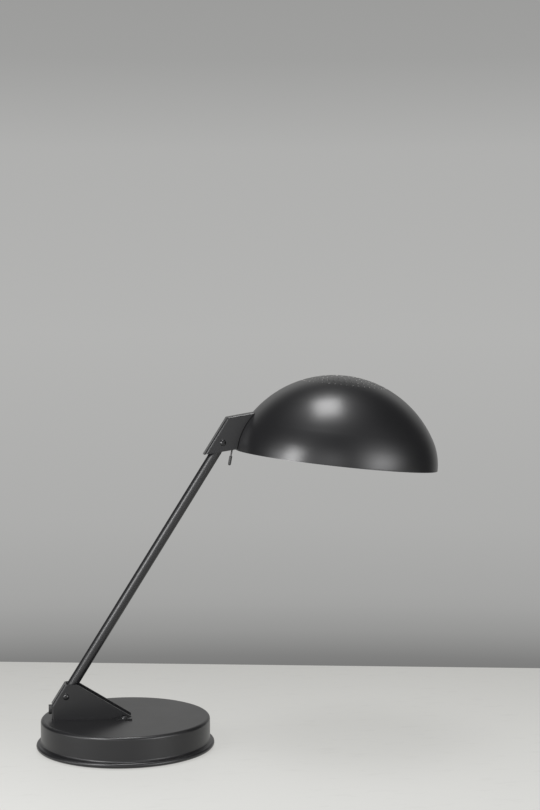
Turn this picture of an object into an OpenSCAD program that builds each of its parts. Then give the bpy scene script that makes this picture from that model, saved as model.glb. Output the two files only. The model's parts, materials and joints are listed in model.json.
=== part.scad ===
// Dome shade desk lamp. A round weighted base carries a leaning tube arm, pinned between the
// cheeks of a folded bracket. A second folded bracket pins the spun dome shade to the arm's top.
// The origin is the centre of the base's underside. +X is the side that the arm leans to, +Z is
// up, and the lamp is symmetric about the XZ plane but for its screw heads and nuts.

/* [Base] */
// Diameter over the rolled rim at the foot of the base
base_rim_d = 177.8; // [150:0.2:220]
// How far the rim stands out from the drum above it
rim_proud = 4.4; // [3:0.1:8]
// Height from the table to the top of the base
base_h = 30; // [26:0.5:45]
// Radius of the rounded top edge
base_edge_r = 3; // [1.5:0.5:5]
// Diameter of the bead that the rim is rolled to
rim_bead_d = 5; // [4:0.5:7]
// Height of the bare rim above the table, so that the pad carries the lamp
rim_lift = 1; // [0.5:0.1:2]
// Sheet thickness of the base cover
cover_t = 1; // [0.8:0.1:1.5]
// Thickness of the felt pad
pad_t = 2.5; // [2:0.1:4]
// Thickness of the bottom plate
plate_t = 2; // [1.9:0.1:3]
// Space left between the cast weight and the cover's wall
weight_gap = 8.5; // [6:0.5:16]
// Thickness of the cast weight
weight_t = 14; // [9:0.5:15]

/* [Arm] */
// Distance between the two pivots
arm_len = 296; // [200:1:380]
// Lean of the arm from upright
arm_lean = 32; // [27:0.5:38]
// Outside diameter of the arm tube
tube_d = 10.6; // [9.6:0.1:11]
// Wall of the arm tube
tube_wall = 1; // [0.8:0.1:1.2]
// Length of each end knuckle, from its pivot to the tube
knuckle_collar = 10.5; // [9.5:0.5:14]
// Length of knuckle that is pressed into the tube
knuckle_spigot = 14; // [8:1:25]

/* [Brackets] */
// Outside width of both folded brackets
channel_w = 18; // [17.5:0.5:24]
// Sheet thickness of both brackets
sheet_t = 1.5; // [1:0.1:1.8]
// Outside radius of the folds
fold_r = 2.5; // [2:0.1:4]
// From the drum's edge in to the back of the lower bracket
bracket_inset = 10.9; // [6:0.1:20]
// Height of the lower pivot above the top of the base
pivot_rise = 23.5; // [20:0.5:32]
// From the arm's axis to the back of the lower web
base_web_gap = 7.4; // [7.2:0.1:9]
// From the lower pivot back to the upright part of the lower web
base_back = 14.1; // [12:0.1:18]
// From the lower pivot up to the cheeks' sloping edge, along the arm
base_peak = 15.7; // [13:0.1:20]
// From the lower pivot up to the cheeks' flat top
base_top = 11.8; // [10:0.1:13]
// From the lower pivot forward to the cheeks' tip
base_tip = 65; // [58:0.5:67]
// Width of each foot tab at the cheeks' tip
foot_w = 9; // [8:0.5:14]
// Length of each foot tab
foot_len = 16; // [10:0.5:24]
// From the arm's axis to the back of the upper web
head_web_gap = 9.6; // [8.6:0.1:11]
// From the upper pivot up to the corner of the upper web, along the arm
head_web_up = 24; // [20:0.5:28]
// Rise of the upper bracket's top, from the level of the shade's rim
head_top_slope = 16; // [10:1:20]
// From the upper pivot down to the upper bracket's lower edge
head_floor = 9.1; // [8:0.1:10]
// Rise of that lower edge, from the level of the shade's rim
head_floor_slope = 15.3; // [10:0.1:17]

/* [Shade] */
// Diameter of the shade at its rim
shade_d = 206; // [190:1:240]
// Height of the shade above its rim
shade_h = 86; // [80:1:95]
// Radius of the shade's side, where it meets the rim
shade_side_r = 62; // [58:1:66]
// Sheet thickness of the shade
shade_t = 0.8; // [0.6:0.1:1.2]
// Tilt of the rim, front down
shade_tilt = 6.2; // [2:0.1:9]
// From the upper pivot forward to the back of the rim
shade_gap = 15; // [14.8:0.1:17]
// From the upper pivot down to the plane of the rim
rim_drop = 6.3; // [5.8:0.1:7]
// Diameter of the bead that the rim is rolled to
shade_bead_d = 2.4; // [2:0.1:3]
// Diameter of each vent hole
vent_d = 2.2; // [1.6:0.1:2.6]
// Number of rings of vent holes
vent_rings = 5; // [1:1:5]
// Radius of the widest ring
vent_ring_r = 43; // [40:0.5:48]
// Distance between rings
vent_ring_gap = 7.5; // [5:0.1:8]
// Distance between holes along a ring, at least
vent_pitch = 5.8; // [5:0.1:9]

/* [Lamp holder and bulb] */
// Height of the bulb's axis above the plane of the rim
bulb_axis_h = 40; // [38:0.5:41]
// From the back of the shade's rim in to the holder's plate
holder_inset = 32; // [31:0.5:37]
// Outside diameter of the lamp holder
holder_d = 32; // [32:0.5:34]
// Length of the lamp holder
holder_len = 42; // [40:0.5:46]
// Diameter of the bulb
bulb_d = 60; // [45:1:64]
// Length of glass beyond the holder
bulb_reach = 74; // [60:1:78]

/* [Switch] */
// From the upper pivot forward to the switch lever's pivot
switch_x = 11.2; // [10.9:0.1:11.3]
// From the upper pivot down to the switch lever's pivot
switch_drop = 3.5; // [3:0.1:4]
// Lean of the switch's axis, lower end forward
switch_lean = 9; // [6:1:12]
// Throw of the lever to each side of that axis
lever_throw = 13; // [8:1:14]
// Length of the lever from its pivot
lever_len = 19; // [14:0.5:22]
// Diameter of the lever's sleeve
sleeve_d = 3; // [2.4:0.1:3.4]

/* [Fits] */
// Running clearance on the radius of each pivot
pivot_fit = 0.05; // [0.02:0.01:0.1]
// Side play of each knuckle between its washers, each side
side_play = 0.1; // [0.05:0.05:0.3]
// Clearance on the radius of a screw in its hole
screw_fit = 0.2; // [0.1:0.05:0.4]
// Clearance on the radius of a thread or a pressed piece
close_fit = 0.05; // [0.02:0.01:0.1]

/* [Hidden] */
$fn = 64;

// How far a cutter runs past the face it cuts
cut = 1;
// A length longer than any piece it trims
big = 400;

black = "#26272a";
base_drum_r = base_rim_d / 2 - rim_proud;
cover_in_r = base_drum_r - cover_t;
cover_under = base_h - cover_t;
bead_r = rim_bead_d / 2;
plate_top = pad_t + plate_t;
plate_d = 2 * (cover_in_r - screw_fit);
pad_d = plate_d - 2;
weight_d = 2 * (cover_in_r - weight_gap);
weight_low = cover_under - weight_t;

// Base screws: M4, three up into the weight's legs and three down into its top
base_screw_d = 3.9;
base_head_d = 7;
base_head_h = 2.4;
base_sink_h = 1.8;
plate_screw_len = 10;
leg_d = 14;
leg_r = weight_d / 2 - leg_d;
leg_count = 3;
tap_depth = 9;

pivot_back = base_drum_r - bracket_inset - base_back;
lower_pivot = [-pivot_back, 0, base_h + pivot_rise];
upper_pivot = lower_pivot + arm_len * [sin(arm_lean), 0, cos(arm_lean)];
inner_w = channel_w - 2 * sheet_t;
cheek_y = channel_w / 2;

// Pivot hardware: a 4 mm screw, a nylon washer on each side and a lock nut
pivot_d = 4;
pivot_head_d = 6.5;
pivot_head_h = 1.8;
pivot_nut_af = 7;
pivot_nut_h = 3.6;
pivot_screw_end = 1;
washer_d = 10;
washer_t = 1.2;
knuckle_w = inner_w - 2 * washer_t - 2 * side_play;
tube_bore = tube_d - 2 * tube_wall;
lead_d = 4.2;
lead_bore = 4.8;
lead_exit_drop = 2.5;
lead_exit = knuckle_collar - lead_exit_drop;

// Screws that hold the lower bracket down
rear_screw_x = -pivot_back;
foot_x = base_tip - pivot_back - foot_len;
foot_screw_x = foot_x + foot_len / 2;
foot_screw_out = 0.4;
foot_screw_y = cheek_y + foot_w / 2 + foot_screw_out;
bracket_screws_at = [[rear_screw_x, 0], [foot_screw_x, foot_screw_y], [foot_screw_x, -foot_screw_y]];
bracket_screw_len = 9;

// Cord inlet in the lower web
inlet_h = 9.5;
inlet_flange_d = 9.5;
inlet_flange_t = 3;
inlet_barrel_d = 7.4;
inlet_bore = 5.2;
inlet_snap_d = 8.4;
inlet_snap_t = 1.5;

// The shade's outline is two arcs that meet tangentially: the side and the crown
shade_r = shade_d / 2;
holder_back = shade_r - holder_inset;
side_c = shade_r - shade_side_r;
crown_r = (shade_r ^ 2 + shade_h ^ 2 - 2 * shade_r * shade_side_r) / (2 * (shade_h - shade_side_r));
crown_c = shade_h - crown_r;
arc_join = atan2(-crown_c, side_c);

// The shade is held at its back by two M3 screws, with the lead's grommet above them
shade_screw_lift = 15.5;
shade_screw_y = 4;
shade_screw_d = 2.9;
shade_screw_head_d = 5.6;
shade_screw_head_h = 1.7;
shade_nut_af = 5.5;
shade_nut_h = 2.4;
shade_screw_end = 0.8;
grommet_lift = 25;
grommet_d = 8;
grommet_hole = 6.4;
grommet_collar_t = 1.2;
lead_tail = 4;
saddle_low = 13.5;
saddle_high = 35;
saddle_seat = 0.05;

// Lamp holder and screw-in bulb, 26 mm thread
strap_w = 15;
strap_outside = shade_t + bow(strap_w) + close_fit;
strap_inside = strap_outside + sheet_t;
strap_low = 10.5;
strap_high = 33;
holder_plate_top = bulb_axis_h + 11;
nipple_d = 9.6;
nipple_bore = 7;
nipple_ahead = 5.5;
nipple_behind = 6;
holder_nut_af = 14;
holder_nut_h = 2.6;
holder_wall = 2;
holder_floor = 6;
core_t = 4;
core_hole_y = 6.4;
core_hole_d = 2.4;
thread_d = 27.4;
thread_wall = 0.4;
thread_len = 27;
cap_d = 26.2;
cap_wall = 0.4;
cap_len = 24;
insulator_h = 4.6;
insulator_tip_d = 9;
insulator_plug_h = 3;
contact_d = 6;
glass_t = 0.8;
glass_ahead = 1;
neck_r = 12.5;
neck_len = 12;
bulb_r = bulb_d / 2;
bulb_c = bulb_reach - bulb_r;

// Switch: a small toggle whose lever hangs below the upper bracket
case_depth = 6.2;
case_w = 12.6;
case_h = 8.5;
case_wall = 1.2;
tab_low = 1.5;
tab_back = 4.3;
tab_ahead = 3;
thread6_d = 6;
switch_nut_af = 6.8;
switch_nut_h = 1.9;
bushing_low = 0.9;
ball_d = 4;
shaft_d = 1.6;
lever_top = 4;
shaft_short = 1;
tag_w = 2;
tag_t = 0.6;
tag_len = 3;
sleeve_len = 9.5;

// ---- Frames -----------------------------------------------------------------------------

// Lower pivot, +Z up along the arm, +X on the arm's underside
module in_arm_frame() {
    translate(lower_pivot) rotate([0, arm_lean, 0]) children();
}

// Upper pivot, +X forward along the rim's plane, +Z along the shade's axis
module in_head_frame() {
    translate(upper_pivot) rotate([0, shade_tilt, 0]) children();
}

// Centre of the shade's rim, with the same directions
module in_shade_frame() {
    in_head_frame() translate([shade_gap + shade_r, 0, -rim_drop]) children();
}

// Outside of the shade's back, +Z outward, at an angle up its side arc
module on_shade_back(lift) {
    in_shade_frame() translate([-side_c, 0, 0]) rotate([0, lift - 90, 0])
        translate([0, 0, shade_side_r]) children();
}

// Front face of the holder's plate, +Z forward along the bulb's axis
module in_holder_frame() {
    in_shade_frame() translate([-holder_back, 0, bulb_axis_h]) rotate([0, 90, 0]) children();
}

// The switch lever's pivot, +Z up along the switch's axis
module in_switch_frame() {
    in_head_frame() translate([switch_x, 0, -switch_drop]) rotate([0, -switch_lean, 0]) children();
}

// The same pivot, +Z up along the lever as it is thrown back
module in_lever_frame() {
    in_switch_frame() rotate([0, lever_throw, 0]) children();
}

// ---- Shared shapes ----------------------------------------------------------------------

// Turns a shape's Z axis to run across the lamp, from the near side to the far side
module across() {
    rotate([-90, 0, 0]) children();
}

// Cylinder across the lamp, centred on the XZ plane
module cross_cylinder(d, w) {
    across() cylinder(d = d, h = w, center = true);
}

// Half space ahead of a web, with the folds' round edges along the web
module channel_prism(w, r) {
    linear_extrude(big, center = true) {
        translate([r, -w / 2]) square([big, w]);
        translate([0, -w / 2 + r]) square([r, w - 2 * r]);
        for (side = [-1, 1]) translate([r, side * (w / 2 - r)]) circle(r);
    }
}

// Slab of a side outline, right across a bracket
module side_slab(outline) {
    rotate([90, 0, 0]) linear_extrude(channel_w + cut, center = true) polygon(outline);
}

// Low round screw head with a hexagon recess, seated at Z = 0
module button_head(d, h) {
    crown = (d ^ 2 / 4 + h ^ 2) / (2 * h);
    difference() {
        intersection() {
            cylinder(d = d, h = h);
            translate([0, 0, h - crown]) sphere(crown);
        }
        translate([0, 0, h * 0.45]) cylinder(d = d * 0.45, h = h, $fn = 6);
    }
}

// Screw seated at Z = 0 with its shank below
module button_screw(d, len, head_d, head_h) {
    button_head(head_d, head_h);
    translate([0, 0, -len]) cylinder(d = d, h = len + head_h * 0.3);
}

module hex_nut(af, h, hole_d) {
    difference() {
        cylinder(d = af / cos(30), h = h, $fn = 6);
        translate([0, 0, -cut]) cylinder(d = hole_d, h = h + 2 * cut);
    }
}

module ring(outer_d, inner_d, h) {
    difference() {
        cylinder(d = outer_d, h = h);
        translate([0, 0, -cut]) cylinder(d = inner_d, h = h + 2 * cut);
    }
}

// Point of a cubic curve from a to d, with handles b and c
function curve_point(a, b, c, d, t) =
    (1 - t) ^ 3 * a + 3 * (1 - t) ^ 2 * t * b + 3 * (1 - t) * t ^ 2 * c + t ^ 3 * d;

// Round rod along a path of points in the XZ plane
module swept_rod(path, d, sides) {
    last = len(path) - 1;
    points = [for (i = [0 : last]) let (
        run = path[min(i + 1, last)] - path[max(i - 1, 0)],
        up = [-run.z, 0, run.x] / norm(run))
        for (k = [0 : sides - 1]) let (turn = k * 360 / sides)
            path[i] + d / 2 * (cos(turn) * up + [0, sin(turn), 0])];
    walls = [for (i = [0 : last - 1]) for (k = [0 : sides - 1]) let (next = (k + 1) % sides)
        [i * sides + k, (i + 1) * sides + k, (i + 1) * sides + next, i * sides + next]];
    polyhedron(points, concat(walls, [[for (k = [0 : sides - 1]) k],
        [for (k = [sides - 1 : -1 : 0]) last * sides + k]]));
}

// ---- Base -------------------------------------------------------------------------------

// Half section of the base drum, drawn in by an inset
module drum_half(inset) {
    r = max(base_edge_r - inset, 0.2);
    wide = base_drum_r - inset;
    high = base_h - inset;
    square([wide - r, high]);
    square([wide, high - r]);
    translate([wide - r, high - r]) circle(r);
}

module base_cover() {
    color(black) difference() {
        rotate_extrude($fn = 128) {
            bead_x = base_rim_d / 2 - bead_r;
            bead_z = rim_lift + bead_r;
            difference() {
                union() {
                    difference() {
                        drum_half(0);
                        translate([0, -cut]) square([base_rim_d, bead_z + cut]);
                    }
                    translate([bead_x, bead_z]) circle(bead_r);
                    translate([cover_in_r, bead_z - cover_t / 2]) square([bead_x - cover_in_r, cover_t]);
                }
                drum_half(cover_t);
            }
        }
        for (at = bracket_screws_at) translate([at.x, at.y, cover_under - cut])
            cylinder(d = base_screw_d + 2 * screw_fit, h = cover_t + 2 * cut);
    }
}

// The weight fills the cover's top and stands on three legs, which the plate's screws enter
module cast_weight() {
    color("dimgray") difference() {
        union() {
            translate([0, 0, weight_low]) cylinder(d = weight_d, h = weight_t);
            at_legs() translate([0, 0, plate_top]) cylinder(d = leg_d, h = weight_low - plate_top + cut);
        }
        for (at = bracket_screws_at) translate([at.x, at.y, cover_under - tap_depth])
            cylinder(d = base_screw_d + 2 * close_fit, h = tap_depth + cut);
        at_legs() translate([0, 0, plate_top - cut])
            cylinder(d = base_screw_d + 2 * close_fit, h = plate_screw_len + cut);
    }
}

module at_legs() {
    for (i = [0 : leg_count - 1]) rotate([0, 0, 60 + i * 360 / leg_count])
        translate([leg_r, 0, 0]) children();
}

// Cone of a countersunk head, flush with the plate's underside
module countersunk_cone(grow) {
    translate([0, 0, pad_t])
        cylinder(d1 = base_head_d + 2 * grow, d2 = base_screw_d + 2 * grow, h = base_sink_h);
}

module bottom_plate() {
    color("silver") difference() {
        translate([0, 0, pad_t]) cylinder(d = plate_d, h = plate_t);
        at_legs() {
            countersunk_cone(close_fit);
            translate([0, 0, pad_t - cut])
                cylinder(d = base_screw_d + 2 * close_fit, h = plate_t + 2 * cut);
        }
    }
}

module plate_screws() {
    color("silver") at_legs() {
        countersunk_cone(0);
        translate([0, 0, pad_t]) cylinder(d = base_screw_d, h = plate_t + plate_screw_len - cut);
    }
}

module felt_pad() {
    color("#1c1c1e") cylinder(d = pad_d, h = pad_t);
}

// ---- Lower bracket ----------------------------------------------------------------------

// Height of the cheeks' sloping edge, square to the arm, at a distance ahead of the pivot
function slope_z(x) = (base_peak - x * sin(arm_lean)) / cos(arm_lean);
function slope_x(z) = (base_peak - z * cos(arm_lean)) / sin(arm_lean);

// Space ahead of the lower web: an upright stretch, then one along the arm
module lower_channel(inset) {
    w = channel_w - 2 * inset;
    r = fold_r - inset;
    intersection() {
        translate([inset - base_back, 0, 0]) channel_prism(w, r);
        rotate([0, arm_lean, 0]) translate([inset - base_web_gap, 0, 0]) channel_prism(w, r);
    }
}

module base_bracket() {
    outline = [[-base_back - cut, -pivot_rise], [-base_back - cut, base_top], [slope_x(base_top), base_top],
        [base_tip, max(slope_z(base_tip), sheet_t - pivot_rise)], [base_tip, -pivot_rise]];
    floor_len = base_back + base_head_d / 2 + sheet_t;
    color(black) difference() {
        union() {
            translate(lower_pivot) {
                difference() {
                    intersection() {
                        side_slab(outline);
                        lower_channel(0);
                    }
                    lower_channel(sheet_t);
                    cross_cylinder(pivot_d + 2 * screw_fit, channel_w + cut);
                    translate([-base_back, 0, inlet_h - pivot_rise]) rotate([0, 90, 0])
                        cylinder(d = inlet_barrel_d + 2 * close_fit, h = 3 * sheet_t, center = true);
                }
                translate([-base_back + sheet_t / 2, -inner_w / 2, -pivot_rise])
                    cube([floor_len, inner_w, sheet_t]);
            }
            for (side = [-1, 1]) translate([foot_x, side * (cheek_y + foot_w / 2) - foot_w / 2, base_h])
                translate([0, -side * sheet_t / 2, 0]) cube([foot_len, foot_w + sheet_t / 2, sheet_t]);
        }
        for (at = bracket_screws_at) translate([at.x, at.y, base_h - cut])
            cylinder(d = base_screw_d + 2 * screw_fit, h = sheet_t + 2 * cut);
    }
}

module bracket_screws() {
    color(black) for (at = bracket_screws_at) translate([at.x, at.y, base_h + sheet_t])
        button_screw(base_screw_d, bracket_screw_len, base_head_d, base_head_h);
}

// The inlet that a cord would come in by: flange outside, snap ring inside
module cord_bushing() {
    color("#1a1a1c") translate(lower_pivot + [-base_back, 0, inlet_h - pivot_rise]) rotate([0, 90, 0])
        difference() {
            union() {
                translate([0, 0, -inlet_flange_t]) cylinder(d = inlet_flange_d, h = inlet_flange_t);
                cylinder(d = inlet_barrel_d, h = sheet_t + inlet_snap_t);
                translate([0, 0, sheet_t]) cylinder(d = inlet_snap_d, h = inlet_snap_t);
            }
            translate([0, 0, -inlet_flange_t - cut]) cylinder(d = inlet_bore, h = inlet_flange_t + big / 10);
        }
}

// ---- Pivots -----------------------------------------------------------------------------

module pivot_screw() {
    shank = channel_w + pivot_nut_h + pivot_screw_end;
    color("#3a3b3e") translate([0, -cheek_y, 0]) rotate([90, 0, 0])
        button_screw(pivot_d, shank, pivot_head_d, pivot_head_h);
}

module pivot_washers() {
    color("ivory") for (side = [-1, 1])
        translate([0, side * (inner_w - washer_t) / 2, 0]) across() translate([0, 0, -washer_t / 2])
            ring(washer_d, pivot_d + 2 * pivot_fit, washer_t);
}

module pivot_nut() {
    color("silver") translate([0, cheek_y, 0]) across()
        hex_nut(pivot_nut_af, pivot_nut_h, pivot_d + 2 * close_fit);
}

module lower_pivot_screw() {
    translate(lower_pivot) pivot_screw();
}

module lower_pivot_washers() {
    translate(lower_pivot) pivot_washers();
}

module lower_pivot_nut() {
    translate(lower_pivot) pivot_nut();
}

module upper_pivot_screw() {
    in_head_frame() pivot_screw();
}

module upper_pivot_washers() {
    in_head_frame() pivot_washers();
}

module upper_pivot_nut() {
    in_head_frame() pivot_nut();
}

// ---- Arm --------------------------------------------------------------------------------

module arm_tube() {
    color(black) in_arm_frame() translate([0, 0, knuckle_collar])
        ring(tube_d, tube_bore, arm_len - 2 * knuckle_collar);
}

// End fitting: a barrel across the pivot, a collar as wide as the tube, a spigot in the tube
module knuckle() {
    color("#303135") difference() {
        union() {
            cross_cylinder(tube_d, knuckle_w);
            cylinder(d = tube_d, h = knuckle_collar);
            cylinder(d = tube_bore - 2 * close_fit, h = knuckle_collar + knuckle_spigot);
        }
        cross_cylinder(pivot_d + 2 * pivot_fit, knuckle_w + cut);
        translate([0, 0, lead_exit]) cylinder(d = lead_bore, h = big);
        translate([0, 0, lead_exit]) rotate([0, 90, 0]) cylinder(d = lead_bore - 1, h = tube_d);
    }
}

module lower_knuckle() {
    in_arm_frame() knuckle();
}

module upper_knuckle() {
    in_arm_frame() translate([0, 0, arm_len]) rotate([180, 0, 0]) knuckle();
}

// Lead through the arm, from one knuckle's side hole to the other's
module arm_lead() {
    color("#151517") in_arm_frame() translate([0, 0, lead_exit])
        cylinder(d = lead_d, h = arm_len - 2 * lead_exit);
}

// ---- Upper bracket ----------------------------------------------------------------------

web_turn = arm_lean - shade_tilt;
head_corner = [head_web_up * sin(web_turn) - head_web_gap * cos(web_turn), 0,
    head_web_up * cos(web_turn) + head_web_gap * sin(web_turn)];

// Space between the upper web, behind, and the bracket's top, above
module upper_channel(inset) {
    w = channel_w - 2 * inset;
    r = fold_r - inset;
    intersection() {
        rotate([0, web_turn, 0]) translate([inset - head_web_gap, 0, 0]) channel_prism(w, r);
        translate(head_corner) rotate([0, 90 - head_top_slope, 0]) translate([inset, 0, 0])
            channel_prism(w, r);
    }
}

module head_bracket() {
    reach = shade_gap + shade_r / 2;
    rise = tan(head_floor_slope);
    outline = [[-reach, -head_floor - reach * rise], [shade_gap, -head_floor + shade_gap * rise],
        [reach, -head_floor + shade_gap * rise], [reach, reach], [-reach, reach]];
    color(black) difference() {
        union() {
            in_head_frame() difference() {
                intersection() {
                    side_slab(outline);
                    upper_channel(0);
                }
                upper_channel(sheet_t);
            }
            switch_tab();
            shade_saddle();
        }
        in_shade_frame() back_slab(saddle_seat, channel_w + cut);
        in_head_frame() cross_cylinder(pivot_d + 2 * screw_fit, channel_w + cut);
        at_shade_screws() cylinder(d = shade_screw_d + 2 * screw_fit, h = 3 * sheet_t, center = true);
        on_shade_back(grommet_lift)
            cylinder(d = grommet_hole + 2 * screw_fit, h = 3 * sheet_t, center = true);
        in_switch_frame() cylinder(d = thread6_d + 2 * screw_fit, h = tab_low + 2 * sheet_t);
    }
}

// Plate across the bracket that the switch is fastened to
module switch_tab() {
    in_switch_frame() translate([-tab_back, -channel_w / 2 + sheet_t / 2, tab_low])
        cube([tab_back + tab_ahead, channel_w - sheet_t, sheet_t]);
}

// Plate between the cheeks, pressed to the shade's curve
module shade_saddle() {
    in_shade_frame() intersection() {
        back_slab(saddle_seat + sheet_t, channel_w - sheet_t);
        translate([-shade_r - cut, -channel_w / 2, saddle_low])
            cube([shade_r + cut - side_c, channel_w, saddle_high - saddle_low]);
    }
}

module at_shade_screws() {
    for (side = [-1, 1]) on_shade_back(shade_screw_lift) translate([0, side * shade_screw_y, 0]) children();
}

// ---- Shade ------------------------------------------------------------------------------

// Half section of the dome, filled, grown by an offset
module dome_half(grow) {
    intersection() {
        translate([0, crown_c]) circle(crown_r + grow, $fn = 256);
        polygon([[0, 0], [side_c, 0], [side_c + big * cos(arc_join), big * sin(arc_join)], [0, big]]);
    }
    intersection() {
        translate([side_c, 0]) circle(shade_side_r + grow, $fn = 256);
        square(big);
    }
}

// The back half of that outline, straight across the lamp
module back_slab(grow, w) {
    rotate([90, 0, 0]) linear_extrude(w, center = true) mirror([1, 0]) dome_half(grow);
}

// How far the round rim falls away from a flat strip of a width laid across its back
function bow(w) = shade_r - sqrt(shade_r ^ 2 - w ^ 2 / 4);

// How far a flat round head stands off the strap's hollow inside, so that only its edges touch
function strap_sag(d) = let (r = shade_side_r - strap_inside) r - sqrt(r ^ 2 - d ^ 2 / 4);

function ring_holes(r) = floor(2 * PI * r / vent_pitch);

module shade() {
    color(black) difference() {
        in_shade_frame() {
            difference() {
                rotate_extrude($fn = 128) {
                    difference() {
                        dome_half(0);
                        dome_half(-shade_t);
                    }
                    translate([shade_r - shade_bead_d / 2, shade_bead_d / 2]) circle(d = shade_bead_d);
                }
                for (i = [0 : vent_rings - 1]) {
                    r = vent_ring_r - i * vent_ring_gap;
                    for (k = [0 : ring_holes(r) - 1]) rotate([0, 0, (k + 0.5) * 360 / ring_holes(r)])
                        translate([r, 0, shade_h / 2]) cylinder(d = vent_d, h = shade_h, $fn = 16);
                }
            }
        }
        at_shade_screws() cylinder(d = shade_screw_d + 2 * screw_fit, h = 6 * shade_t, center = true);
        on_shade_back(grommet_lift) cylinder(d = grommet_hole, h = 6 * shade_t, center = true);
    }
}

// Screws go in from inside the shade, through the strap, the shade and the saddle
module shade_screws() {
    seat = strap_inside + strap_sag(shade_screw_head_d);
    grip = seat + saddle_seat + sheet_t + shade_nut_h;
    color("silver") at_shade_screws() translate([0, 0, -seat]) rotate([180, 0, 0])
        button_screw(shade_screw_d, grip + shade_screw_end, shade_screw_head_d, shade_screw_head_h);
}

module shade_nuts() {
    color("silver") at_shade_screws() translate([0, 0, saddle_seat + sheet_t])
        hex_nut(shade_nut_af, shade_nut_h, shade_screw_d + 2 * close_fit);
}

module lead_grommet() {
    seat = strap_inside + strap_sag(grommet_d);
    outside = saddle_seat + sheet_t;
    color("#1a1a1c") on_shade_back(grommet_lift) difference() {
        union() {
            translate([0, 0, -seat - grommet_collar_t]) cylinder(d = grommet_d, h = grommet_collar_t);
            translate([0, 0, -seat - grommet_collar_t / 2])
                cylinder(d = grommet_hole - 2 * close_fit, h = seat + outside + grommet_collar_t);
            translate([0, 0, outside]) cylinder(d = grommet_d, h = grommet_collar_t);
        }
        cylinder(d = lead_bore, h = big / 20, center = true);
    }
}

// ---- Lamp holder and bulb ---------------------------------------------------------------

// Strap: a foot pressed to the shade's inside, a floor, and the plate that the holder screws to
module holder_strap() {
    plate_x = -holder_back - sheet_t;
    color("silver") difference() {
        in_shade_frame() difference() {
            union() {
                intersection() {
                    difference() {
                        back_slab(-strap_outside, strap_w);
                        back_slab(-strap_inside, strap_w + cut);
                    }
                    translate([-shade_r, -strap_w / 2, strap_low])
                        cube([shade_r - side_c, strap_w, strap_high - strap_low]);
                }
                intersection() {
                    back_slab(-strap_outside, strap_w);
                    translate([-shade_r, -strap_w / 2, strap_low])
                        cube([shade_r + plate_x + sheet_t, strap_w, sheet_t]);
                }
                translate([plate_x, -strap_w / 2, strap_low])
                    cube([sheet_t, strap_w, holder_plate_top - strap_low]);
            }
        }
        at_shade_screws() cylinder(d = shade_screw_d + 2 * screw_fit, h = 6 * sheet_t, center = true);
        on_shade_back(grommet_lift) cylinder(d = grommet_hole, h = 6 * sheet_t, center = true);
        in_holder_frame() cylinder(d = nipple_d + 2 * screw_fit, h = 4 * sheet_t, center = true);
    }
}

module holder_nipple() {
    color("gold") in_holder_frame() translate([0, 0, -sheet_t - nipple_behind])
        ring(nipple_d, nipple_bore, nipple_behind + sheet_t + nipple_ahead);
}

module holder_nut() {
    color("gold") in_holder_frame() translate([0, 0, -sheet_t - holder_nut_h])
        hex_nut(holder_nut_af, holder_nut_h, nipple_d + 2 * close_fit);
}

module holder_body() {
    color("#1d1d1f") in_holder_frame() difference() {
        cylinder(d = holder_d, h = holder_len);
        translate([0, 0, holder_floor]) cylinder(d = holder_d - 2 * holder_wall, h = holder_len);
        translate([0, 0, -cut]) cylinder(d = nipple_d + 2 * close_fit, h = holder_floor + 2 * cut);
    }
}

// Insulating disc in the holder that carries the screw shell and the centre contact
module holder_core() {
    color("#3a2a20") in_holder_frame() translate([0, 0, holder_floor]) difference() {
        cylinder(d = holder_d - 2 * holder_wall - 2 * close_fit, h = core_t);
        for (side = [-1, 1]) translate([0, side * core_hole_y, -cut])
            cylinder(d = core_hole_d, h = core_t + 2 * cut);
    }
}

module holder_thread() {
    color("gold") in_holder_frame() translate([0, 0, holder_floor + core_t])
        ring(thread_d, thread_d - 2 * thread_wall, thread_len);
}

// From the holder's plate to the tip of the bulb's cap
function cap_start() = holder_len + glass_ahead - cap_len;

module holder_contact() {
    low = holder_floor + core_t;
    color("gold") in_holder_frame() translate([0, 0, low])
        cylinder(d = contact_d, h = cap_start() - insulator_h - low - close_fit);
}

module bulb_cap() {
    color("silver") in_holder_frame() translate([0, 0, cap_start()])
        ring(cap_d, cap_d - 2 * cap_wall, cap_len);
}

module bulb_insulator() {
    color("#202022") in_holder_frame() translate([0, 0, cap_start()]) {
        translate([0, 0, -insulator_h]) cylinder(d1 = insulator_tip_d, d2 = cap_d - 2, h = insulator_h);
        cylinder(d = cap_d - 2 * cap_wall - 2 * close_fit, h = insulator_plug_h);
    }
}

// Half section of the bulb: a neck, a cone tangent to the ball, and the ball
module bulb_half(inset) {
    r = bulb_r - inset;
    neck = neck_r - inset;
    reach = norm([neck, bulb_c]);
    swing = asin(r / reach) - atan2(neck, bulb_c);
    run = sqrt(reach ^ 2 - r ^ 2);
    touch = [neck + run * sin(swing), run * cos(swing)];
    polygon([[0, -neck_len - (inset > 0 ? cut : 0)], [neck, -neck_len - (inset > 0 ? cut : 0)], [neck, 0],
        touch, [0, touch.y]]);
    intersection() {
        translate([0, bulb_c]) circle(r, $fn = 128);
        square(big);
    }
}

module bulb_glass() {
    color("white") in_holder_frame() translate([0, 0, holder_len + glass_ahead])
        rotate_extrude($fn = 96) difference() {
            bulb_half(0);
            bulb_half(glass_t);
        }
}

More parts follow.
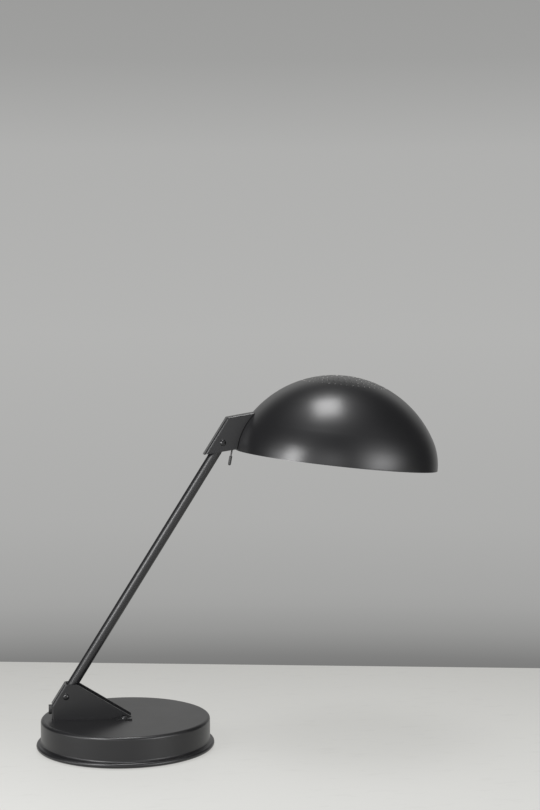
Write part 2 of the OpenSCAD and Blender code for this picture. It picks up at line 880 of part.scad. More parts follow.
// Lead from the grommet's bore, along a smooth curve, into the holder's nipple
module shade_lead() {
    steps = 18;
    inside_r = shade_side_r - strap_inside;
    outward = [-cos(grommet_lift), 0, sin(grommet_lift)];
    grommet = [-side_c, 0, 0] + inside_r * outward;
    nipple = [-holder_back - sheet_t - nipple_behind, 0, bulb_axis_h];
    pull = norm(nipple - grommet) * 0.55;
    bend = [for (i = [0 : steps])
        curve_point(grommet, grommet - pull * outward, nipple - [pull, 0, 0], nipple, i / steps)];
    color("#151517") in_shade_frame()
        swept_rod(concat([grommet + lead_tail * outward], bend, [nipple + [lead_tail, 0, 0]]), lead_d, 16);
}

// ---- Switch -----------------------------------------------------------------------------

module switch_case() {
    low = tab_low + sheet_t;
    color("#1b1b1d") in_switch_frame() difference() {
        translate([-case_depth / 2, -case_w / 2, low]) cube([case_depth, case_w, case_h]);
        translate([0, 0, low - cut]) cylinder(d = ball_d + 2 * pivot_fit, h = case_h - case_wall + cut);
    }
}

module switch_bushing() {
    color("silver") in_switch_frame() translate([0, 0, -bushing_low])
        ring(thread6_d, ball_d + 2 * pivot_fit, tab_low + sheet_t + bushing_low);
}

module switch_nut() {
    color("silver") in_switch_frame() translate([0, 0, tab_low - switch_nut_h]) rotate([0, 0, 30])
        hex_nut(switch_nut_af, switch_nut_h, thread6_d + 2 * close_fit);
}

module switch_tags() {
    color("gold") in_switch_frame() for (side = [-1, 1])
        translate([-tag_w / 2, side * case_w / 4 - tag_t / 2, tab_low + sheet_t + case_h])
            cube([tag_w, tag_t, tag_len]);
}

module switch_lever() {
    color("silver") in_lever_frame() {
        sphere(d = ball_d);
        translate([0, 0, shaft_short - lever_len])
            cylinder(d = shaft_d, h = lever_len - shaft_short + lever_top);
    }
}

module lever_sleeve() {
    core = shaft_d + 2 * close_fit;
    color("#1a1a1c") in_lever_frame() difference() {
        union() {
            translate([0, 0, sleeve_d / 2 - lever_len]) cylinder(d = sleeve_d, h = sleeve_len - sleeve_d / 2);
            translate([0, 0, sleeve_d / 2 - lever_len]) sphere(d = sleeve_d);
        }
        translate([0, 0, shaft_short - close_fit - lever_len]) cylinder(d = core, h = lever_len);
    }
}

// ---- Nodes ------------------------------------------------------------------------------

base_cover();
cast_weight();
bottom_plate();
felt_pad();
plate_screws();
base_bracket();
bracket_screws();
cord_bushing();
lower_pivot_screw();
lower_pivot_washers();
lower_pivot_nut();
arm_tube();
lower_knuckle();
upper_knuckle();
arm_lead();
head_bracket();
upper_pivot_screw();
upper_pivot_washers();
upper_pivot_nut();
shade();
shade_screws();
shade_nuts();
lead_grommet();
shade_lead();
holder_strap();
holder_nipple();
holder_nut();
holder_body();
holder_core();
holder_thread();
holder_contact();
bulb_glass();
bulb_cap();
bulb_insulator();
switch_case();
switch_bushing();
switch_nut();
switch_tags();
switch_lever();
lever_sleeve();
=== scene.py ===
"""Looks of the dome shade desk lamp: finishes for every piece, and the stage."""

import json
import math

import bpy
import numpy as np
from bpy.props import FloatProperty, FloatVectorProperty, PointerProperty
from mathutils import Matrix, Vector


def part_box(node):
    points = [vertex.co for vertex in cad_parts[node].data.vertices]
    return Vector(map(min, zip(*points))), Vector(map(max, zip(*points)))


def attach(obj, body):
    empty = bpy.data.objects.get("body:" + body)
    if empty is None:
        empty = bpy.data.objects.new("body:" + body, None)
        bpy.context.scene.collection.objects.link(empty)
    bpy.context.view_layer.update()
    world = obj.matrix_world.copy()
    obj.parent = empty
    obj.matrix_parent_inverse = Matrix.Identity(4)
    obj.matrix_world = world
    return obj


bl_info = {
    "name": "Dome Shade Desk Lamp",
    "version": (1, 0, 0),
    "blender": (4, 5, 0),
    "location": "View3D > Sidebar > Desk Lamp",
    "description": "Finishes and stage of a dome shade desk lamp",
    "category": "Object",
}

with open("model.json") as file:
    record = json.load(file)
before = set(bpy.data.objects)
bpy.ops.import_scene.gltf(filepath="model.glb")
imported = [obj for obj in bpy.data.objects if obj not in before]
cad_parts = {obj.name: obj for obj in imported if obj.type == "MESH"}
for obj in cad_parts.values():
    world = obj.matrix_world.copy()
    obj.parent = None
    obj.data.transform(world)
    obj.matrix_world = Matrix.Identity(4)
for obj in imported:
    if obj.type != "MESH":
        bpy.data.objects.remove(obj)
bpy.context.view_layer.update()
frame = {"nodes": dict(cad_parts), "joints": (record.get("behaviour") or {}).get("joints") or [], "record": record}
NODES = frame["nodes"]
SLOT_OF = {row["node"]: row["material_slot"] for row in frame["record"]["subparts"]}
MM = 0.001
UP = Vector((0, 0, 1))


# ---- Fixed numbers ----------------------------------------------------------------------------

# The shade's inner wall faces a point on its axis, HEART_DROP below the middle of its box. A face
# is outside where the cosine between its normal and the way out from there is over OUTSIDE_LEVEL.
HEART_DROP = 0.030
OUTSIDE_LEVEL = 0.13

# Dust on the satin coat: noise level where specks begin, how steeply they rise, how much they
# cover, and how much paler than the coat they are.
DUST_FROM, DUST_RISE, DUST_COVER, DUST_PALE = 0.62, 6.0, 0.10, 4.0

# Turned rings: faces around, the angle past which an edge is sharp, and points on the cove's arc.
RING_STEPS = 240
SHARP_EDGE = math.radians(35)
ARC_POINTS = 13

# Table: reach toward the camera, half its width, the depths between which its tone falls, its
# near and far colours where clean and where soiled, and how its marks are cut from the noise.
# The table glows in these colours. That glow is painted light, brighter toward the camera, and
# it stands in for the studio's light on the table, so that the shade casts almost no shadow there.
TABLE_NEAR, TABLE_HALF = 1.7, 3.0
TONE_FROM, TONE_TO = -0.20, 0.42
CLEAN = (0.545, 0.545, 0.525, 1), (0.365, 0.362, 0.345, 1)
SOILED = (0.495, 0.493, 0.475, 1), (0.325, 0.322, 0.305, 1)
STREAK_FROM, STREAK_RISE, DRIFT_SHARE, MARKS_FROM = 0.60, 4.0, 0.9, 0.35

# Wall: grey at each height of the view, from 0 straight down to 1 straight up. The narrow dip at
# 0.396, just above the table's back edge, is a painted shadow cast on the wall.
WALL_TONES = (
    (0.300, 0.30), (0.396, 0.19), (0.4055, 0.30), (0.4155, 0.372), (0.440, 0.42), (0.500, 0.456),
    (0.558, 0.434), (0.586, 0.35), (0.610, 0.33), (0.660, 0.60), (1.0, 0.75),
)
WALL_BLUE = 0.985

# Flags: grey of the room from 0 behind the camera to 1 behind the lamp, and where the wall
# takes over from them, as a cosine.
FLAG_TONES = (0.0, 0.16), (0.30, 0.14), (0.45, 0.06), (0.68, 0.05)
WALL_FROM, WALL_TO = 0.60, 0.92

# Glows: degrees to the right of the camera, degrees upward, the power that narrows, strength.
GLOWS = (
    (-62, -4, 24, 7.0),
    (-46, 20, 10, 0.7),
    (50, 0, 20, 7.2),
    (50, 18, 8, 0.8),
    (-16, -4, 14, 0.9),
    (-5, 8, 30, 1.3),
    (-60, 84, 12, 1.4),
)
GLOW_BLUE = 1.01

# Softboxes: where each stands from what it lights, as parts to the camera's right, away from
# it and upward, then its distance, width and length.
OVERHEAD = (-0.09, -0.010, 1), 1.6, 0.56, 0.68
STRIP = (-0.536, -0.765, 0.358), 0.5, 0.17, 0.32

SENSOR_MM = 36


# ---- Where things are, worked out from the frame ---------------------------------------------

def joint_point(name):
    """Pivot of a joint, as a vector in metres."""
    joint = next(j for j in frame["joints"] if j["name"] == name)
    return Vector(joint["pos_m"])


def middle(node):
    """Centre of a node's box."""
    low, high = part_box(node)
    return (low + high) / 2


def shade_heart():
    """Point on the shade's axis that the inner wall faces."""
    ahead = (middle("bulb_glass") - middle("holder_contact")).normalized()
    up = Vector((-ahead.z, 0, ahead.x))
    return middle("shade") - up * HEART_DROP


# ---- Shader graphs ----------------------------------------------------------------------------

class Link:
    """A node's output socket. Arithmetic on it adds Math nodes to its graph."""

    def __init__(self, graph, socket):
        self.graph = graph
        self.socket = socket

    def _math(self, operation, first, second):
        settings = {"operation": operation}
        return self.graph.node("ShaderNodeMath", settings, {0: first, 1: second}).out()

    def __add__(self, other):
        return self._math("ADD", self, other)

    def __radd__(self, other):
        return self._math("ADD", other, self)

    def __sub__(self, other):
        return self._math("SUBTRACT", self, other)

    def __rsub__(self, other):
        return self._math("SUBTRACT", other, self)

    def __mul__(self, other):
        return self._math("MULTIPLY", self, other)

    def __rmul__(self, other):
        return self._math("MULTIPLY", other, self)

    def __pow__(self, other):
        return self._math("POWER", self, other)

    def over(self, level):
        """1 where the value is greater than a level, and 0 elsewhere."""
        return self._math("GREATER_THAN", self, level)

    def at_least(self, level):
        """The value, or a level where the value is below it."""
        return self._math("MAXIMUM", self, level)


class Made:
    """A node that was added, with its outputs by name or number."""

    def __init__(self, graph, node):
        self.graph = graph
        self.made = node

    def out(self, name=0):
        return Link(self.graph, self.made.outputs[name])


class Graph:
    """One material or world, and the nodes in it."""

    def __init__(self, name, owners=None):
        self.material = (bpy.data.materials if owners is None else owners).new(name)
        self.material.use_nodes = True
        self.tree = self.material.node_tree
        self.tree.nodes.clear()

    def node(self, kind, settings=None, values=None):
        """Adds a node of a type, sets its settings, then the values or links of its sockets."""
        made = self.tree.nodes.new(kind)
        for key, value in (settings or {}).items():
            if key == "stops":
                for index, (place, colour) in enumerate(value):
                    stop = made.color_ramp.elements
                    item = stop[index] if index < 2 else stop.new(place)
                    item.position = place
                    item.color = (*colour, 1.0)
            else:
                setattr(made, key, value)
        for key, value in (values or {}).items():
            if isinstance(value, Link):
                self.tree.links.new(value.socket, made.inputs[key])
            else:
                made.inputs[key].default_value = value
        return Made(self, made)

    def place(self):
        return self.node("ShaderNodeTexCoord").out("Object")

    def noise(self, size_mm, detail, rough, stretch=(1, 1, 1)):
        """Noise between 0 and 1 with features of a size, drawn out along an axis by a stretch."""
        where = {"Vector": self.place(), "Scale": stretch}
        mapped = self.node("ShaderNodeMapping", {}, where).out()
        scale = 1 / (size_mm * MM)
        values = {"Vector": mapped, "Scale": scale, "Detail": detail, "Roughness": rough}
        return self.node("ShaderNodeTexNoise", {}, values).out(0)

    def mix(self, share, first, second, blend="MIX"):
        """Blend of two colours."""
        settings = {"data_type": "RGBA", "blend_type": blend}
        return self.node("ShaderNodeMix", settings, {0: share, 6: first, 7: second}).out(2)

    def ramp(self, value, tones, blue=1.0):
        """Colour of a value between 0 and 1, from places with a grey each."""
        stops = [(place, (tone, tone, tone * blue)) for place, tone in tones]
        return self.node("ShaderNodeValToRGB", {"stops": stops}, {0: value}).out()

    def clamp(self, value):
        """The value, held between 0 and 1."""
        return self.node("ShaderNodeClamp", {}, {"Value": value}).out()

    def between(self, value, low, high, curve="LINEAR"):
        """0 up to the low value, 1 from the high one, and a straight or smooth rise between."""
        values = {"Value": value, "From Min": low, "From Max": high}
        return self.node("ShaderNodeMapRange", {"interpolation_type": curve}, values).out()

    def dot(self, first, second):
        """Dot product of two directions: the cosine between them."""
        settings = {"operation": "DOT_PRODUCT"}
        return self.node("ShaderNodeVectorMath", settings, {0: first, 1: second}).out("Value")

    def bump(self, height, depth_mm, strength):
        values = {"Height": height, "Distance": depth_mm * MM, "Strength": strength}
        return self.node("ShaderNodeBump", {}, values).out()

    def finish(self, settings):
        """Principled surface with the given sockets, joined to the material's output."""
        shader = self.node("ShaderNodeBsdfPrincipled", {}, settings).out()
        self.node("ShaderNodeOutputMaterial", {}, {"Surface": shader})
        return self.material


def rgb(colour, shade=1.0):
    """Colour with its alpha, darkened or lightened by a factor."""
    return (colour[0] * shade, colour[1] * shade, colour[2] * shade, 1.0)


# ---- Finishes ---------------------------------------------------------------------------------

def orange_peel(g):
    """Fine dimples of a sprayed coat."""
    return g.bump(g.noise(0.9, detail=2, rough=0.5), depth_mm=0.012, strength=0.18)


def satin_paint(look, name, gloss=0.0):
    """Satin black coat: fine orange peel, cloudy gloss, a trace of dust."""
    g = Graph(name)
    cloud = g.noise(38, detail=4, rough=0.55)
    dust = (g.noise(0.5, detail=1, rough=0.4) - DUST_FROM) * DUST_RISE
    share = g.clamp(dust * DUST_COVER)
    return g.finish({
        "Base Color": g.mix(share, rgb(look.black), rgb(look.black, DUST_PALE)),
        "Roughness": 0.27 - gloss + cloud * 0.08,
        "Normal": orange_peel(g),
        "IOR": 1.5,
    })


def shade_coat(look, name):
    """Satin black outside and white enamel inside, told apart by which way the surface faces."""
    g = Graph(name)
    ends = {0: g.place(), 1: shade_heart()}
    spoke = g.node("ShaderNodeVectorMath", {"operation": "SUBTRACT"}, ends).out()
    outward = g.node("ShaderNodeVectorMath", {"operation": "NORMALIZE"}, {0: spoke}).out()
    flat = g.node("ShaderNodeNewGeometry").out("True Normal")
    spaces = {"vector_type": "NORMAL", "convert_from": "WORLD", "convert_to": "OBJECT"}
    normal = g.node("ShaderNodeVectorTransform", spaces, {0: flat}).out()
    inside = 1 - g.dot(outward, normal).over(OUTSIDE_LEVEL)
    cloud = g.noise(45, detail=4, rough=0.55)
    return g.finish({
        "Base Color": g.mix(inside, rgb(look.black), rgb(look.enamel)),
        "Roughness": 0.26 + cloud * 0.07 + inside * 0.08,
        "Normal": orange_peel(g),
        "IOR": 1.5,
    })


def plated(name, colour, rough):
    """Bare or plated metal with a fine drawn grain and slightly uneven gloss."""
    g = Graph(name)
    lines = g.noise(0.5, detail=3, rough=0.6, stretch=(1, 1, 8))
    stain = g.noise(9, detail=4, rough=0.6)
    return g.finish({
        "Base Color": g.mix(stain * 0.5, rgb(colour), rgb(colour, 0.72)),
        "Metallic": 1.0,
        "Roughness": rough + lines * 0.14,
        "Normal": g.bump(lines, depth_mm=0.006, strength=0.3),
    })


def as_cast(name):
    """Rough cast iron."""
    g = Graph(name)
    grit = g.noise(1.4, detail=6, rough=0.7)
    return g.finish({
        "Base Color": g.mix(grit, (0.05, 0.05, 0.052, 1), (0.15, 0.145, 0.14, 1)),
        "Metallic": 0.6,
        "Roughness": 0.55 + grit * 0.3,
        "Normal": g.bump(grit, depth_mm=0.25, strength=0.8),
    })


def felt(name):
    """Pressed wool: short tangled fibres."""
    g = Graph(name)
    fibre = g.noise(0.35, detail=8, rough=0.8, stretch=(1, 1, 2.5))
    clump = g.noise(4, detail=3, rough=0.6)
    tuft = fibre * 0.6 + clump * 0.3
    return g.finish({
        "Base Color": g.mix(tuft, (0.010, 0.010, 0.011, 1), (0.060, 0.060, 0.064, 1)),
        "Roughness": 0.95,
        "Normal": g.bump(fibre, depth_mm=0.2, strength=0.9),
        "Sheen Weight": 0.4,
    })


def moulded(name, colour, rough, depth_mm=0.02):
    """Moulded plastic or rubber with a slight texture."""
    g = Graph(name)
    skin = g.noise(0.7, detail=4, rough=0.6)
    flow = g.noise(14, detail=3, rough=0.5)
    return g.finish({
        "Base Color": g.mix(flow * 0.6, rgb(colour), rgb(colour, 1.5)),
        "Roughness": rough + flow * 0.10,
        "Normal": g.bump(skin, depth_mm, strength=0.4),
    })


def frosted(look, name):
    """Frosted bulb glass, as a pale opaque body under a clear coat."""
    g = Graph(name)
    haze = g.noise(11, detail=3, rough=0.5)
    return g.finish({
        "Base Color": g.mix(haze * 0.4, rgb(look.glass), rgb(look.glass, 0.93)),
        "Roughness": 0.22 + haze * 0.08,
        "Coat Weight": 0.6,
        "Coat Roughness": 0.05,
        "Normal": g.bump(haze, depth_mm=0.004, strength=0.2),
    })


def finishes(look):
    """What makes each material slot of the record, by name."""
    return {
        "black_paint": lambda n: satin_paint(look, n),
        "shade_paint": lambda n: shade_coat(look, n),
        "cast_iron": as_cast,
        "steel": lambda n: plated(n, look.steel, 0.28),
        "dark_steel": lambda n: satin_paint(look, n, 0.04),
        "black_screw": lambda n: satin_paint(look, n, 0.08),
        "felt": felt,
        "black_rubber": lambda n: moulded(n, (0.014, 0.014, 0.014), 0.55, 0.03),
        "nylon": lambda n: moulded(n, (0.55, 0.53, 0.46), 0.45),
        "lead_jacket": lambda n: moulded(n, (0.013, 0.013, 0.013), 0.38),
        "brass": lambda n: plated(n, look.brass, 0.26),
        "phenolic": lambda n: moulded(n, (0.010, 0.0095, 0.0095), 0.24, 0.008),
        "brown_board": lambda n: moulded(n, (0.085, 0.040, 0.018), 0.6),
        "bulb_glass": lambda n: frosted(look, n),
        "cap_metal": lambda n: plated(n, look.aluminium, 0.30),
        "black_glass": lambda n: moulded(n, (0.012, 0.012, 0.014), 0.12, 0.004),
        "nickel": lambda n: plated(n, look.nickel, 0.18),
        "sleeve_plastic": lambda n: moulded(n, (0.014, 0.014, 0.014), 0.42),
    }


_made = {}


def finish_for(slot):
    """The material of a slot, made once."""
    if slot not in _made:
        _made[slot] = finishes(bpy.context.scene.lamp_look)[slot](slot)
    return _made[slot]


def coat(*names):
    """Gives CAD nodes the finish of their own slot."""
    for name in names:
        mesh = NODES[name].data
        mesh.materials.clear()
        mesh.materials.append(finish_for(SLOT_OF[name]))


# ---- Surfaces and what stands in the scene ----------------------------------------------------

def new_piece(name, points, faces):
    """Object at the origin with a mesh of points and faces."""
    mesh = bpy.data.meshes.new(name)
    mesh.from_pydata(points, [], faces)
    mesh.update()
    piece = bpy.data.objects.new(name, mesh)
    bpy.context.scene.collection.objects.link(piece)
    return piece


def turned_ring(name, profile):
    """Ring about the Z axis, smooth but for its sharp edges.

    The point at turn u and profile place v is (r(v) cos 2 pi u, r(v) sin 2 pi u, z(v)). The
    profile runs anticlockwise, with the radius to the right and the height upward, and closes
    on its first point, so that the skin is shut and faces outwards.
    """
    turn = np.linspace(0, 2 * np.pi, RING_STEPS, endpoint=False)[:, None]
    radius, height = profile[:, 0][None, :], profile[:, 1][None, :]
    points = np.stack([radius * np.cos(turn), radius * np.sin(turn), height + 0 * turn], -1) * MM
    count = len(profile)
    i, k = np.arange(RING_STEPS)[:, None], np.arange(count)[None, :]
    ahead, on = (i + 1) % RING_STEPS * count, (k + 1) % count
    faces = np.stack([i * count + k, ahead + k, ahead + on, i * count + on], -1).reshape(-1, 4)
    piece = new_piece(name, points.reshape(-1, 3).tolist(), faces.tolist())
    piece.data.polygons.foreach_set("use_smooth", np.ones(len(faces), bool))
    piece.data.set_sharp_from_angle(angle=SHARP_EDGE)
    return piece


def set_up(name, data, place, turning):
    """Stands a light or the camera at a place, turned by a quaternion."""
    thing = bpy.data.objects.new(name, data)
    bpy.context.scene.collection.objects.link(thing)
    thing.location = place
    thing.rotation_mode = "QUATERNION"
    thing.rotation_quaternion = turning
    return thing


# ---- Settings ---------------------------------------------------------------------------------

def metres(name, description, default):
    """Setting in metres."""
    return FloatProperty(name=name, description=description, unit="LENGTH", default=default)


def degrees(name, description, default):
    """Setting given in degrees and kept in radians."""
    return FloatProperty(
        name=name, description=description, subtype="ANGLE", default=math.radians(default))


def watts(name, description, default):
    """Setting in watts."""
    return FloatProperty(name=name, description=description, unit="POWER", default=default)


def tint(name, description, default):
    """Setting for a colour."""
    return FloatVectorProperty(
        name=name, description=description, subtype="COLOR", default=default, min=0, max=1)


class LampLook(bpy.types.PropertyGroup):
    """Colours of the lamp's finishes, and the sizes of the base's rim."""

    rim_bead: metres("Rim Bead", "Diameter of the bead that the base's rim is rolled to", 0.005)
    rim_proud: metres("Rim Reach", "How far the rim stands out from the drum", 0.0044)
    cove_sunk: metres(
        "Cove Depth", "How far the cove's hidden faces lie inside the cover's metal", 0.0003)

    black: tint("Black Paint", "Colour of the satin coat", (0.0085, 0.0085, 0.0092))
    enamel: tint("White Enamel", "Colour inside the shade", (0.74, 0.73, 0.70))
    steel: tint("Zinc", "Colour of the zinc-plated steel", (0.56, 0.56, 0.57))
    brass: tint("Brass", "Colour of the bare brass", (0.70, 0.50, 0.22))
    nickel: tint("Black Nickel", "Colour of the switch's plating", (0.060, 0.058, 0.058))
    aluminium: tint("Aluminium", "Colour of the bulb's cap", (0.80, 0.80, 0.81))
    glass: tint("Bulb Glass", "Colour of the frosted bulb", (0.88, 0.87, 0.84))


class LampStage(bpy.types.PropertyGroup):
    """Camera, table and light round the lamp."""

    turn: degrees("Turn", "How far the lamp's front is turned away from the camera", 8)
    distance: metres("Distance", "From the camera to the base, level", 1.55)
    height: metres("Height", "Height of the camera above the table", 0.41286)
    aside: metres("Aside", "How far the camera stands to the right of the base", 0.14471)
    tip: degrees("Tip", "How far the camera looks down", 2.597)
    lens: FloatProperty(
        name="Lens", description="Focal length on the stage's sensor, in mm",
        unit="CAMERA", default=69.34)
    floor_back: metres("Table Depth", "From the base to the back edge of the table", 0.391)
    floor_slant: FloatProperty(
        name="Edge Slant", default=0.0565,
        description="How much nearer the back edge comes, per length to the right")
    overhead_power: watts("Overhead Softbox", "Power of the softbox above the shade", 14.5)
    strip_power: watts("Strip", "Power of the strip beside the arm", 2.0)


# ---- Operators --------------------------------------------------------------------------------

class LAMP_OT_base(bpy.types.Operator):
    """Finish the base: cover, weight, plate, pad and screws"""

    bl_idname = "lamp.base"
    bl_label = "Base"

    def execute(self, context):
        coat("base_cover", "cast_weight", "bottom_plate", "felt_pad", "plate_screws")
        self.rim_cove(context.scene.lamp_look)
        return {"FINISHED"}

    def rim_cove(self, look):
        """Hollow curve from the drum's wall out to the top of the rolled rim.

        Seen in section it is a quarter circle that touches the wall upright and the bead's top
        level; the rest of the ring lies inside the cover's metal.
        """
        low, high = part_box("base_cover")
        rim_r = (high.x - low.x) / 2 / MM
        bead_r, wall_r = look.rim_bead / MM / 2, rim_r - look.rim_proud / MM
        bead_x, bead_top = rim_r - bead_r, low.z / MM + 2 * bead_r
        reach = bead_x - wall_r
        turn = np.linspace(np.pi / 2, 0, ARC_POINTS)
        arc_x = bead_x - reach * np.cos(turn)
        arc_z = bead_top + reach - reach * np.sin(turn)
        sunk = look.cove_sunk / MM
        back = np.array([
            [wall_r - sunk, bead_top + reach],
            [wall_r - sunk, bead_top - reach],
            [bead_x, bead_top - sunk],
        ])
        cove = turned_ring("rim_cove", np.concatenate([np.stack([arc_x, arc_z], -1), back]))
        cove.data.materials.append(finish_for(SLOT_OF["base_cover"]))
        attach(cove, "base")


class LAMP_OT_brackets(bpy.types.Operator):
    """Finish both folded brackets, their screws and the cord bushing"""

    bl_idname = "lamp.brackets"
    bl_label = "Brackets"

    def execute(self, context):
        coat("base_bracket", "head_bracket", "bracket_screws", "cord_bushing")
        return {"FINISHED"}


class LAMP_OT_pivots(bpy.types.Operator):
    """Finish the screws, washers and nuts that the arm and the shade turn on"""

    bl_idname = "lamp.pivots"
    bl_label = "Pivots"

    def execute(self, context):
        coat("lower_pivot_screw", "lower_pivot_washers", "lower_pivot_nut")
        coat("upper_pivot_screw", "upper_pivot_washers", "upper_pivot_nut")
        return {"FINISHED"}


class LAMP_OT_arm(bpy.types.Operator):
    """Finish the arm tube, its knuckles and the lead inside"""

    bl_idname = "lamp.arm"
    bl_label = "Arm"

    def execute(self, context):
        coat("arm_tube", "lower_knuckle", "upper_knuckle", "arm_lead")
        return {"FINISHED"}


class LAMP_OT_shade(bpy.types.Operator):
    """Finish the dome shade, black outside and white inside, with its screws, grommet and lead"""

    bl_idname = "lamp.shade"
    bl_label = "Shade"

    def execute(self, context):
        coat("shade", "shade_screws", "shade_nuts", "lead_grommet", "shade_lead")
        return {"FINISHED"}


class LAMP_OT_holder(bpy.types.Operator):
    """Finish the strap, nipple, nut and lamp holder"""

    bl_idname = "lamp.holder"
    bl_label = "Lamp Holder"

    def execute(self, context):
        coat("holder_strap", "holder_nipple", "holder_nut", "holder_body", "holder_core")
        coat("holder_thread", "holder_contact")
        return {"FINISHED"}


class LAMP_OT_bulb(bpy.types.Operator):
    """Finish the frosted bulb, its cap and its black glass insulator"""

    bl_idname = "lamp.bulb"
    bl_label = "Bulb"

    def execute(self, context):
        coat("bulb_glass", "bulb_cap", "bulb_insulator")
        return {"FINISHED"}


class LAMP_OT_switch(bpy.types.Operator):
    """Finish the toggle switch and its sleeved lever"""

    bl_idname = "lamp.switch"
    bl_label = "Switch"

    def execute(self, context):
        coat("switch_case", "switch_bushing", "switch_nut", "switch_tags")
        coat("switch_lever", "lever_sleeve")
        return {"FINISHED"}


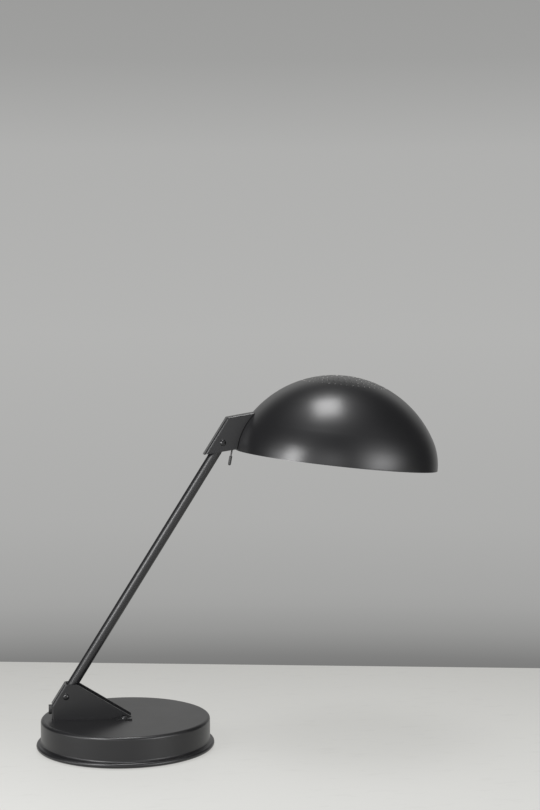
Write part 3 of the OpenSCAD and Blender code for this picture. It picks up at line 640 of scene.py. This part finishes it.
class LAMP_OT_stage(bpy.types.Operator):
    """Set up the table, the room's light, the softboxes and the camera"""

    bl_idname = "lamp.stage"
    bl_label = "Stage"

    def execute(self, context):
        stage = context.scene.lamp_stage
        side = Vector((math.cos(stage.turn), -math.sin(stage.turn), 0))
        away = Vector((math.sin(stage.turn), math.cos(stage.turn), 0))
        self.table(stage, side, away)
        self.backdrop(context, side, away)
        self.softboxes(stage, side, away)
        self.camera(context, stage, side, away)
        context.scene.view_settings.view_transform = "Standard"
        return {"FINISHED"}

    def table(self, stage, side, away):
        """Pale stone, lighter toward the camera and lit mostly by itself: its glow is painted light."""
        far, slant = stage.floor_back, stage.floor_slant * TABLE_HALF
        ends = (
            (-TABLE_HALF, -TABLE_NEAR), (TABLE_HALF, -TABLE_NEAR),
            (TABLE_HALF, far - slant), (-TABLE_HALF, far + slant),
        )
        corners = [tuple(side * x + away * y) for x, y in ends]
        table = new_piece("table_top", corners, [(0, 1, 2, 3)])
        g = Graph("pale_table")
        drift = g.noise(160, detail=5, rough=0.6, stretch=(1, 1.6, 1))
        veins = g.noise(16, detail=5, rough=0.6, stretch=(0.45, 1.5, 1))
        streak = (veins - STREAK_FROM) * STREAK_RISE
        marks = g.clamp(streak + drift * DRIFT_SHARE - MARKS_FROM)
        depth = g.between(g.dot(g.place(), away), TONE_FROM, TONE_TO)
        table.data.materials.append(g.finish({
            "Base Color": (0.12, 0.12, 0.118, 1),
            "Roughness": 0.6,
            "Specular IOR Level": 0.25,
            # Painted light: the stone glows by itself, brighter toward the camera, and so the shade's shadow on it
            # stays faint.
            "Emission Color": g.mix(marks, g.mix(depth, *CLEAN), g.mix(depth, *SOILED)),
            "Emission Strength": 1.0,
        }))

    def backdrop(self, context, side, away):
        """Grey wall behind the lamp, dark flags at its sides, and soft glows.

        The camera itself sees the wall all round, so that every side of the lamp stands before
        grey. The rest is seen only in the lamp and lights it.
        """
        g = Graph("studio", bpy.data.worlds)
        way = g.node("ShaderNodeTexCoord").out("Generated")
        height = g.node("ShaderNodeSeparateXYZ", {}, {0: way}).out("Z")
        # The wall's ramp holds a painted shadow: a dark band just above the table's back edge.
        wall = g.ramp(height * 0.5 + 0.5, WALL_TONES, WALL_BLUE)
        behind = g.dot(way, away)
        flags = g.ramp(behind * 0.5 + 0.5, FLAG_TONES)
        tone = g.mix(g.between(behind, WALL_FROM, WALL_TO, "SMOOTHSTEP"), flags, wall)
        glows = self.glow(g, way, side, away, *GLOWS[0])
        for row in GLOWS[1:]:
            glows = glows + self.glow(g, way, side, away, *row)
        shades = {0: glows, 1: glows, 2: glows * GLOW_BLUE}
        soft = g.node("ShaderNodeCombineColor", {}, shades).out()
        lit = g.mix(1.0, tone, soft, "ADD")
        seen = g.node("ShaderNodeLightPath").out("Is Camera Ray")
        light = g.node("ShaderNodeBackground", {}, {"Color": g.mix(seen, lit, wall)}).out()
        g.node("ShaderNodeOutputWorld", {}, {"Surface": light})
        context.scene.world = g.material

    def glow(self, g, way, side, away, turn, rise, narrow, strength):
        """Soft light round one direction.

        It is the cosine between the view and that direction, raised to a power that narrows it.
        """
        turn, rise = math.radians(turn), math.radians(rise)
        level = side * math.sin(turn) - away * math.cos(turn)
        heart = level * math.cos(rise) + UP * math.sin(rise)
        return g.dot(way, heart).at_least(0.0) ** narrow * strength

    def softboxes(self, stage, side, away):
        """Compact box high over the shade, and a strip beside the arm that runs along it."""
        foot, elbow = joint_point("arm_tilt"), joint_point("shade_tilt")
        arm = (elbow - foot).normalized()
        for name, target, run, energy, (parts, gap, wide, tall) in (
            ("overhead", middle("shade"), away, stage.overhead_power, OVERHEAD),
            ("strip", (foot + elbow) / 2, arm, stage.strip_power, STRIP),
        ):
            right, deep, up = parts
            way = (side * right + away * deep + UP * up).normalized()
            data = bpy.data.lights.new(name, "AREA")
            data.shape = "RECTANGLE"
            data.size, data.size_y = wide, tall
            data.energy = energy
            level = run.cross(way).normalized()
            turning = Matrix((level, way.cross(level), way)).transposed().to_quaternion()
            set_up(name, data, target + way * gap, turning).visible_camera = False

    def camera(self, context, stage, side, away):
        """Camera at the photograph's place, level from left to right and tipped down."""
        data = bpy.data.cameras.new("view")
        data.sensor_width = SENSOR_MM
        data.lens = stage.lens
        place = side * stage.aside - away * stage.distance + UP * stage.height
        look = away * math.cos(stage.tip) - UP * math.sin(stage.tip)
        context.scene.camera = set_up("view", data, place, look.to_track_quat("-Z", "Y"))


STEPS = (
    LAMP_OT_base, LAMP_OT_brackets, LAMP_OT_pivots, LAMP_OT_arm, LAMP_OT_shade,
    LAMP_OT_holder, LAMP_OT_bulb, LAMP_OT_switch, LAMP_OT_stage,
)


class LAMP_PT_panel(bpy.types.Panel):
    """The lamp's steps and settings"""

    bl_idname = "LAMP_PT_panel"
    bl_label = "Desk Lamp"
    bl_space_type = "VIEW_3D"
    bl_region_type = "UI"
    bl_category = "Desk Lamp"

    def draw(self, context):
        for step in STEPS:
            self.layout.operator(step.bl_idname)
        for group in (context.scene.lamp_look, context.scene.lamp_stage):
            for key in group.bl_rna.properties.keys():
                if key not in ("rna_type", "name"):
                    self.layout.prop(group, key)


CLASSES = (LampLook, LampStage, *STEPS, LAMP_PT_panel)


def register():
    for cls in CLASSES:
        bpy.utils.register_class(cls)
    bpy.types.Scene.lamp_look = PointerProperty(type=LampLook)
    bpy.types.Scene.lamp_stage = PointerProperty(type=LampStage)


def unregister():
    del bpy.types.Scene.lamp_stage
    del bpy.types.Scene.lamp_look
    for cls in reversed(CLASSES):
        bpy.utils.unregister_class(cls)


def main():
    register()
    for step in STEPS:
        group, name = step.bl_idname.split(".")
        getattr(getattr(bpy.ops, group), name)()


if __name__ == "__main__":
    main()
